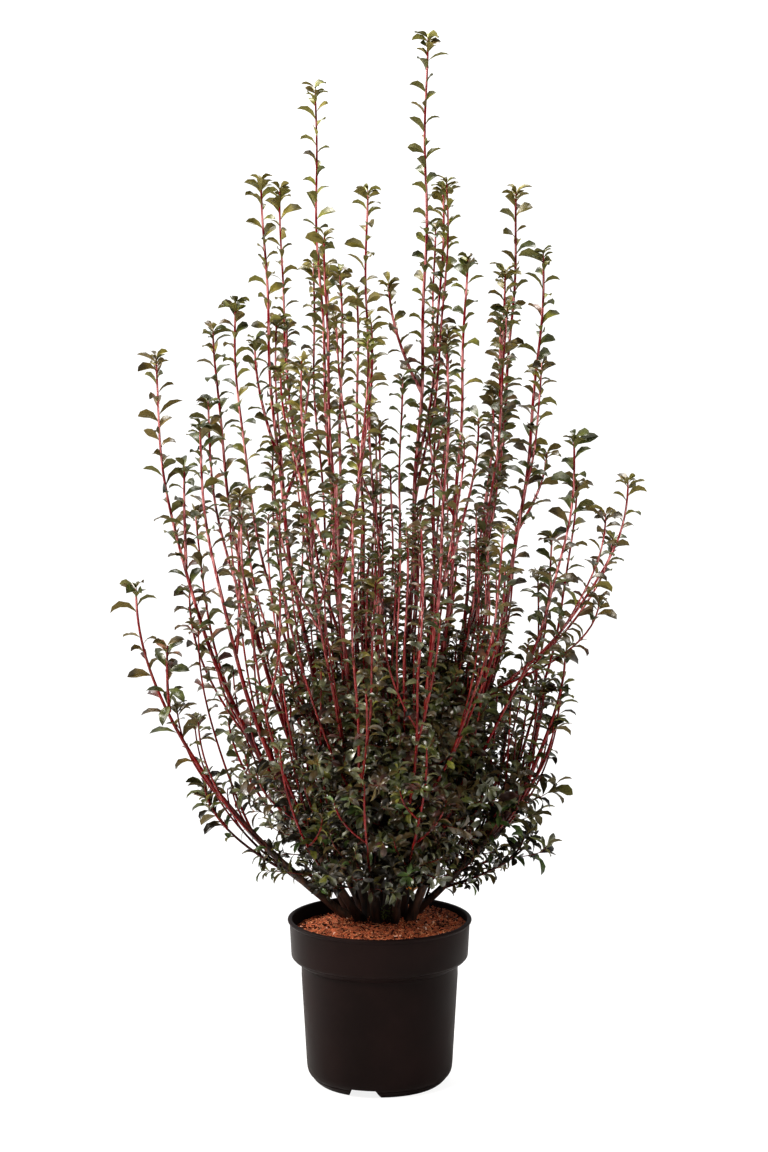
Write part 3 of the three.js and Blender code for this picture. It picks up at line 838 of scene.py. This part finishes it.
# The ring under the pot: its notches, the first one's bearing in degrees, and their size
NOTCHES = Rule(count=3, first=-13.8, height=0.0138, top=0.039, foot=0.051, inner=0.082, outer=0.125)
POT_SIDES, POT_SMOOTH = 120, 32  # corners of each ring, and the angle up to which the pot is shaded smooth


def make_pot():
    """The nursery pot: rolled lip, deep collar, rounded foot and a notched ring under it"""
    rim, top = RIM_RADIUS, POT_HEIGHT
    wall, floor, ring, boss, foot = 0.0022, 0.017, 0.004, 0.026, 0.0945
    shoulder, collar = 0.184, 0.196
    # The profile as radii and heights, from the floor's underside up the outside and down the inside
    outside = [(boss, 0), (boss, floor - wall), (foot - ring, floor - wall), (foot - ring, 0)]
    outside += [(foot - 0.0008, 0), (foot, 0.0004), (0.0986, 0.0034), (0.1028, 0.0078), (0.1041, 0.0098)]
    outside += [(0.1038, 0.0106), (0.1046, 0.0112), (0.1071, 0.0132), (0.1094, 0.0172), (0.1108, 0.0224)]
    outside += [(0.1117, 0.031), (0.1192, shoulder - 0.016)]
    outside += bend((0.1252, shoulder + 0.0005), 0.0062, 180, 105, 5)
    outside += bend((0.1291, collar + 0.0035), 0.0055, -80, -6, 6)
    outside += [(0.1371, top - 0.0065)]
    outside += bend((rim - 0.0024, top - 0.0026), 0.0024, -70, 90, 8)
    inside = bend((rim - 0.0046, top - 0.0022), 0.0022, 90, 180, 5)
    inside += [(0.1326, collar + 0.002), (0.1306, collar - 0.003), (0.1182, shoulder), (0.1086, 0.034)]
    inside += [(0.1083, 0.0235), (0.1068, floor + 0.0022), (0.104, floor)]
    rings = [ring_at(radius, height, POT_SIDES) for radius, height in outside + inside]
    pot = closed_form("pot_shell", 0, rings, floor, POT_SMOOTH)
    cutters = [cut_notch(pot, 360 / NOTCHES.count * k) for k in range(NOTCHES.count)]
    pot = settled(pot)
    for cutter in cutters:
        bpy.data.objects.remove(cutter)
    pot.data.materials.clear()
    pot.data.materials.append(pot_finish())
    pot.data.shade_smooth()
    pot.data.set_sharp_from_angle(angle=math.radians(POT_SMOOTH))
    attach(pot, "root")
    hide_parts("pot")


def cut_notch(pot, turn):
    """A trapezium through the foot ring, turned to its bearing from the front"""
    half_foot, half_top, height = NOTCHES.foot / 2, NOTCHES.top / 2, NOTCHES.height
    outline = [(-half_foot, -0.001), (half_foot, -0.001), (half_top, height), (-half_top, height)]
    points = [(x, -depth, z) for depth in (NOTCHES.inner, NOTCHES.outer) for x, z in outline]
    faces = [(0, 2, 1), (0, 3, 2), (4, 5, 6), (4, 6, 7)]
    for a in range(4):
        b = (a + 1) % 4
        faces += [(a, b + 4, a + 4), (a, b, b + 4)]
    cutter = plain_mesh("notch_cutter", np.array(points), np.array(faces), smooth_to=10)
    cutter.rotation_euler = Euler((0, 0, math.radians(NOTCHES.first + turn)))
    modifier = pot.modifiers.new("notch", "BOOLEAN")
    modifier.operation, modifier.solver, modifier.object = "DIFFERENCE", "EXACT", cutter
    return cutter


# The filling: its wall against the pot as radii and heights, and its top, a low mound with a hollow behind it
SOIL = Rule(
    floor=0.0175, wall=((0.1065, 0.028), (0.1172, 0.184), (0.1318, 0.201)), foot=0.099, radius=0.1318,
    rings=44, sides=132, crown=0.2495, edge=0.2455, flat=0.0528, lumps=(55, 0.0022), swells=(16, 0.0025),
    hollow=0.012, hollow_from=0.05, hollow_back=(0.05, 0.17), shreds_above=0.22, shreds_clear=0.004,
)


def soil_height(x, y):
    """The soil's top: a low mound with lumps and hollows"""
    radius = math.hypot(x, y)
    crown = mixed(SOIL.crown, SOIL.edge, float(eased(radius, SOIL.flat, SOIL.radius)))
    (lump, lump_height), (swell, swell_height) = SOIL.lumps, SOIL.swells
    lumps = noise.fractal(Vector((x, y, 0)) * lump, 1.0, 2.0, 4) * lump_height
    swells = noise.noise(Vector((x, y, 3)) * swell) * swell_height
    away = eased(radius, SOIL.hollow_from, SOIL.radius) * eased(y - x, *SOIL.hollow_back)
    return crown + lumps + swells - SOIL.hollow * float(away)


def make_soil():
    """The filling of shredded bark, one closed form down to the pot's floor"""
    sides, floor = SOIL.sides, POT_LOW.z + SOIL.floor
    rings = [ring_at(radius, height, sides) for radius, height in ((SOIL.foot, floor), *SOIL.wall)]
    for radius in SOIL.radius * np.arange(SOIL.rings, 0, -1) / SOIL.rings:
        ring = ring_at(radius, 0, sides)
        ring[:, 2] = [soil_height(x, y) for x, y, _ in ring]
        rings.append(ring)
    top = soil_height(0, 0)
    soil = closed_form("bark_filling", floor, rings, top, smooth_to=60, finishes=[soil_finish()])
    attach(soil, "root")
    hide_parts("soil")
    return soil


def new_tree(name, **inputs):
    """A Geometry Nodes tree and the wires of its inputs: geometry, and others given by name and kind"""
    tree = bpy.data.node_groups.new(name, "GeometryNodeTree")
    for label, kind in {"Geometry": "Geometry", **inputs}.items():
        tree.interface.new_socket(label, in_out="INPUT", socket_type="NodeSocket" + kind)
    tree.interface.new_socket("Geometry", in_out="OUTPUT", socket_type="NodeSocketGeometry")
    nodes = Nodes(tree)
    given = nodes.add("NodeGroupInput")
    return nodes, {socket.name: Wire(nodes, socket) for socket in given.socket.node.outputs}


def end_tree(nodes, geometry, finish):
    real = nodes.add("GeometryNodeRealizeInstances", {"Geometry": geometry})
    done = nodes.add("GeometryNodeSetMaterial", {"Geometry": real, "Material": finish})
    nodes.add("NodeGroupOutput", {0: done})
    return nodes.tree


def grown(thing, tree, **values):
    """The plain mesh that a tree makes of an object, with the tree's named inputs set by their identifiers"""
    modifier = thing.modifiers.new(tree.name, "NODES")
    modifier.node_group = tree
    for item in tree.interface.items_tree:
        if item.in_out == "INPUT" and item.name in values:
            modifier[item.identifier] = values[item.name]
    return settled(thing)


def shred_tree():
    """Shreds strewn over a surface: tapered slivers that lie at random, sunk a little"""
    sizes = dict.fromkeys(("Density", "Length", "Thickness", "Tilt"), "Float")
    nodes, given = new_tree("strewn_shreds", **sizes, Seed="Int", Finish="Material")

    def chance(low, high, step):
        """A number for each shred, the same at each run"""
        values = {2: low, 3: high, "Seed": given["Seed"] + step}
        return nodes.add("FunctionNodeRandomValue", values, 1, data_type="FLOAT")

    values = {"Mesh": given["Geometry"], "Density": given["Density"], "Seed": given["Seed"]}
    points = nodes.add("GeometryNodeDistributePointsOnFaces", values, "Points")
    values = {"Vertices": 5, "Radius Top": 0.18, "Radius Bottom": 0.5, "Depth": 1.0}
    sliver = nodes.add("GeometryNodeMeshCone", values, "Mesh")
    values = {"Geometry": sliver, "Translation": (-0.5, 0, 0), "Rotation": (0, math.pi / 2, 0)}
    lain = nodes.add("GeometryNodeTransform", values)
    swing, turn, size = chance(-1.0, 1.0, 1), chance(0.0, 2 * math.pi, 2), chance(0.45, 1.5, 3)
    pose = nodes.add("ShaderNodeCombineXYZ", {"X": swing * 3, "Y": swing * given["Tilt"], "Z": turn})
    turned_by = nodes.add("FunctionNodeEulerToRotation", {0: pose})
    girth = given["Thickness"] * size
    scale = nodes.add("ShaderNodeCombineXYZ", {"X": given["Length"] * size, "Y": girth, "Z": girth * 0.6})
    values = {"Points": points, "Instance": lain, "Rotation": turned_by, "Scale": scale}
    return end_tree(nodes, nodes.add("GeometryNodeInstanceOnPoints", values), given["Finish"])


# What lies on the soil: name, sRGB, pieces a square metre, length, thickness and tilt
SHREDS = (
    ("red_brown_shreds", (198, 112, 78), 22000, 0.0074, 0.0015, 0.7),
    ("pale_brown_shreds", (236, 164, 122), 17000, 0.0068, 0.0013, 0.8),
    ("dark_shreds", (48, 25, 19), 18000, 0.0084, 0.0019, 0.7),
    ("pale_grit", (232, 194, 176), 1100, 0.005, 0.0042, 0.6),
)


def strew_shreds(soil):
    tree = shred_tree()
    for number, (name, colour, density, length, thickness, tilt) in enumerate(SHREDS):
        layer = grown(
            placed(name, soil_top(soil)), tree, Density=float(density), Length=length, Thickness=thickness,
            Tilt=tilt, Seed=11 * number + 5, Finish=chip_finish(name, srgb(*colour)),
        )
        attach(layer, "root")


def soil_top(soil):
    """The part of the soil's surface that shreds lie on"""
    mesh = soil.data
    points = np.array([corner.co for corner in mesh.vertices])
    faces = np.array([face.vertices for face in mesh.polygons])
    radius = np.linalg.norm(points[:, :2], axis=1)
    low, outer = points[faces][:, :, 2].min(1), radius[faces].max(1)
    bed = (low > SOIL.shreds_above) & (outer < SOIL.radius - SOIL.shreds_clear)
    top = bpy.data.meshes.new("bed")
    top.from_pydata(points.tolist(), [], faces[bed].tolist())
    return top


# Stems: sides, the step between rings, where rings start below the soil, and how the relief fades upwards
BARK = Rule(sides=18, step=0.0035, from_foot=0.28, phase=1.7, smooth_from=0.35, smooth=0.75, knob=0.3)


def make_stems(limbs):
    """Stems with the relief of bark: ridges that run up them, and knobs low down"""
    sides = BARK.sides
    angle = np.arange(sides) * 2 * math.pi / sides
    points, faces, base = [], [], 0
    for number, limb in enumerate(limbs.values()):
        line = limb.line
        rings = int(line.length / BARK.step)
        shares = np.linspace(BARK.from_foot * FOOT_DEPTH / line.length, 1, rings)
        centre, along = sway(line.along(shares)), line.heading(shares)
        aside, across = around(along)
        phase, up = number * BARK.phase, shares[:, None] * line.length
        # Shares of the radius: five broad ridges that wander, nine that wind upwards, and fine rings
        broad = 0.06 * np.sin(5 * angle + phase + 4 * np.sin(up / 0.05 + phase))
        winding = 0.035 * np.sin(9 * angle - up / 0.013 + phase * 3)
        ridge = broad + winding + 0.03 * np.sin(up / 0.007 + 2 * angle)
        ridge = ridge * (1 - BARK.smooth * eased(shares[:, None], BARK.smooth_from, 1))
        knob = np.exp(-(((up - 0.022 - 0.012 * math.sin(phase)) / 0.009) ** 2))
        knob = BARK.knob * (knob * np.maximum(0, np.cos(angle - phase * 2)))
        radius = limb_radius(limb, shares)[:, None] * (1 + ridge + knob)
        ring = aside[:, None] * np.cos(angle)[:, None] + across[:, None] * np.sin(angle)[:, None]
        points += [(centre[:, None] + ring * radius[..., None]).reshape(-1, 3), centre[[0, -1]]]
        ends = base + rings * sides
        faces += ring_faces(sides, rings, base, ends, ends + 1)
        base = ends + 2
    points, faces = np.concatenate(points), np.concatenate(faces)
    stems = plain_mesh("stems", points, faces, smooth_to=55, finishes=[bark_finish()])
    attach(stems, "root")
    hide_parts(*(name + "_stem" for name in limbs))


def tube_tree():
    """A tube along every curve, as wide as the curve's own radius says"""
    nodes, given = new_tree("shoot_tubes", Sides="Int", Finish="Material")
    values = {"Resolution": given["Sides"], "Radius": 1.0}
    ring = nodes.add("GeometryNodeCurvePrimitiveCircle", values, "Curve")
    girth = nodes.add("GeometryNodeInputRadius")
    values = {"Curve": given["Geometry"], "Profile Curve": ring, "Scale": girth, "Fill Caps": True}
    tube = nodes.add("GeometryNodeCurveToMesh", values)
    return end_tree(nodes, nodes.add("GeometryNodeSetShadeSmooth", {"Geometry": tube}), given["Finish"])


# Wood by age: name, sRGB, share of painted highlight, gloss, the height above the soil where it ends, and
# whether spurs have it
WOODS = (
    ("old_shoots", (50, 9, 9), 0.1, 0.2, 0.14, False),
    ("red_shoots", (106, 4, 12), 0.28, 0.25, 0.46, False),
    ("young_shoots", (112, 4, 19), 0.55, 0.55, math.inf, False),
    ("spur_shoots", (88, 28, 22), 0.2, 0.2, math.inf, True),
)
CURVE_STEP = 0.013  # between the points of a shoot's curve


def make_shoots(twigs, masses):
    """The shoots as tubes, each cut into lengths of old, red and young wood"""
    tree = tube_tree()
    lowest = -math.inf
    for name, colour, painted_highlight, gloss, highest, on_spurs in WOODS:
        curve = bpy.data.curves.new(name, "CURVE")
        curve.dimensions = "3D"
        for twig in twigs:
            if (twig.kind == "spur") == on_spurs:
                add_length(curve, twig, -math.inf if on_spurs else GROUND + lowest, GROUND + highest)
        lowest = highest
        finish = shoot_finish(name, srgb(*colour), painted_highlight, gloss)
        shoots = grown(placed(name, curve), tree, Sides=5 if on_spurs else 6, Finish=finish)
        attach(shoots, "root")
        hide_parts(*masses)


def add_length(curve, twig, low, high):
    """The part of a twig between two heights, as one poly curve"""
    line = twig.line
    steps = max(4, int(line.length / CURVE_STEP))
    shares = np.linspace(0, 1, steps + 1)
    heights = line.along(shares)[:, 2]
    within = np.nonzero((heights >= low) & (heights < high))[0]
    if len(within) == 0 or within[0] == steps:
        return
    shares = shares[within[0] : within[-1] + 2]
    points = sway(line.along(shares))
    spline = curve.splines.new("POLY")
    spline.points.add(len(points) - 1)
    spline.points.foreach_set("co", np.column_stack([points, np.ones(len(points))]).ravel())
    spline.points.foreach_set("radius", twig.radius_at(shares))


LEAVES_A_PIECE = 5000


def make_leaves(twigs, masses, rng):
    leaves = leaf_out(twigs, rng)
    tints, names = deal_tints(leaves, twigs, rng)
    corners = leaf_corners(leaves, rng)
    faces, under = leaf_faces()
    blade = np.array([0.0] + [share for share, _ in LEAF_ROWS[1:-1] for _ in range(ROW)] + [1.0])
    for number, name in enumerate(names):
        mine = corners[tints == number]
        colour, gloss = srgb(*TINTS[name][0]), TINTS[name][-1]
        finishes = [leaf_upper(name + "_upper", colour, gloss), leaf_under(name + "_under", colour)]
        for part in range(0, len(mine), LEAVES_A_PIECE):
            some = mine[part : part + LEAVES_A_PIECE]
            all_faces = faces + np.arange(len(some))[:, None, None] * corners.shape[1]
            piece = plain_mesh(
                f"{name}_leaves_{part // LEAVES_A_PIECE + 1}", some.reshape(-1, 3), all_faces.reshape(-1, 3),
                smooth_to=50, finishes=finishes, finish_of=np.tile(under, len(some)),
                blade=np.tile(blade, len(some)),
            )
            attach(piece, "root")
            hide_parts(*masses)


def make_shrub():
    limbs, masses = grow_frame()
    rng = np.random.default_rng(FINE_SEED)
    older = [twig for twigs in masses.values() for twig in twigs]
    for twig in older:
        climb = twig.line.tip[2] - twig.line.foot[2]
        twig.line = twig.line.part(twig.line.start, 1 - ROSETTE.above / climb)
    twigs = older + list(grow_young([twig for twig in older if twig.kind == "leader"], rng))
    twigs += grow_inner(limbs.values(), rng)
    twigs += list(grow_spurs([*limbs.values(), *twigs], rng))
    twigs += grow_sprout(rng)
    make_stems(limbs)
    make_shoots(twigs, masses)
    make_leaves(twigs, masses, rng)


# The photograph's view: the camera's place, how far it looks down, its lens and how far it sees
CAMERA = Rule(place=(0.0066, -5.0, 1.544), down=0.1516, lens=105.5, sensor=36.0, far=200.0)
# Soft lights: name, place, size, watts and colour
LIGHTS = (
    ("key", (-1.7, -2.1, 2.9), 0.9, 100, (1.0, 0.96, 0.89)),
    ("left_rim", (-2.6, 0.6, 2.1), 1.4, 95, (1.0, 0.96, 0.93)),
    ("fill", (1.9, -1.8, 2.5), 1.1, 32, (1.0, 0.97, 0.92)),
    ("overhead", (0.2, 0.6, 3.5), 1.6, 75, (1.0, 0.98, 0.95)),
)
AIM = Vector((0, 0, 0.9))  # where every light points


def make_studio():
    scene = bpy.context.scene
    scene.view_settings.view_transform = "Standard"
    scene.view_settings.look = "Medium High Contrast"
    camera = bpy.data.cameras.new("camera")
    camera.lens, camera.sensor_width, camera.clip_end = CAMERA.lens, CAMERA.sensor, CAMERA.far
    view = placed("camera", camera)
    view.location = CAMERA.place
    view.rotation_euler = Euler((math.pi / 2 - CAMERA.down, 0, 0))
    scene.camera = view
    for name, place, size, watts, colour in LIGHTS:
        light = bpy.data.lights.new(name, "AREA")
        light.shape, light.size, light.energy, light.color = "DISK", size, watts, colour
        lamp = placed(name, light)
        lamp.location = place
        lamp.rotation_euler = (AIM - Vector(place)).to_track_quat("-Z", "Y").to_euler()
        lamp.visible_camera = False
    make_floor()
    make_sky()


def make_floor():
    """A pale floor that the camera sees as plain white away from the pot"""
    finish = Finish("pale_floor")
    tint = finish.mixed(finish.grain(0.6, 2), srgb(244, 244, 243), srgb(248, 248, 248))
    near = finish.add("ShaderNodeBsdfPrincipled", {"Base Color": tint, "Roughness": 0.8})
    white = finish.add("ShaderNodeEmission", {"Strength": 1.0})
    away = finish.add("ShaderNodeVectorMath", {0: finish.place}, "Value", operation="LENGTH")
    seen = finish.add("ShaderNodeLightPath", out="Is Camera Ray")
    share = away.ranged(0.12, 0.6, 0.72, 1.0) * seen
    both = finish.add("ShaderNodeMixShader", {0: share, 1: near, 2: white})
    finish.add("ShaderNodeOutputMaterial", {"Surface": both})
    reach = 40.0
    corners = reach * np.array([(-1, -1, 0), (1, -1, 0), (1, 1, 0), (-1, 1, 0)], float)
    faces = np.array([(0, 1, 2), (0, 2, 3)])
    floor = plain_mesh("floor", corners, faces, smooth_to=30, finishes=[finish.material])
    floor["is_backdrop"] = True


def make_sky():
    """A white surround, brighter behind the shrub than in front of it"""
    world = bpy.data.worlds.new("studio")
    bpy.context.scene.world = world
    world.use_nodes = True
    sky = Nodes(world.node_tree)
    direction = sky.add("ShaderNodeTexCoord", out="Generated")
    toward_back = sky.add("ShaderNodeSeparateXYZ", {0: direction}, "Y")
    strength = toward_back.ranged(-0.5, 0.6, 0.06, 0.75)
    seen = sky.add("ShaderNodeLightPath", out="Is Camera Ray")
    strength = strength + seen * (1.15 - strength)
    light = sky.add("ShaderNodeBackground", {"Color": (1.0, 1.0, 1.0, 1.0), "Strength": strength})
    sky.add("ShaderNodeOutputWorld", {"Surface": light})


make_pot()
strew_shreds(make_soil())
make_shrub()
make_studio()

SCENE_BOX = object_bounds()
boxes = {"cad": CAD_BOX, "scene": SCENE_BOX}
{name: [list(map(float, corner)) for corner in box] for name, box in boxes.items()}
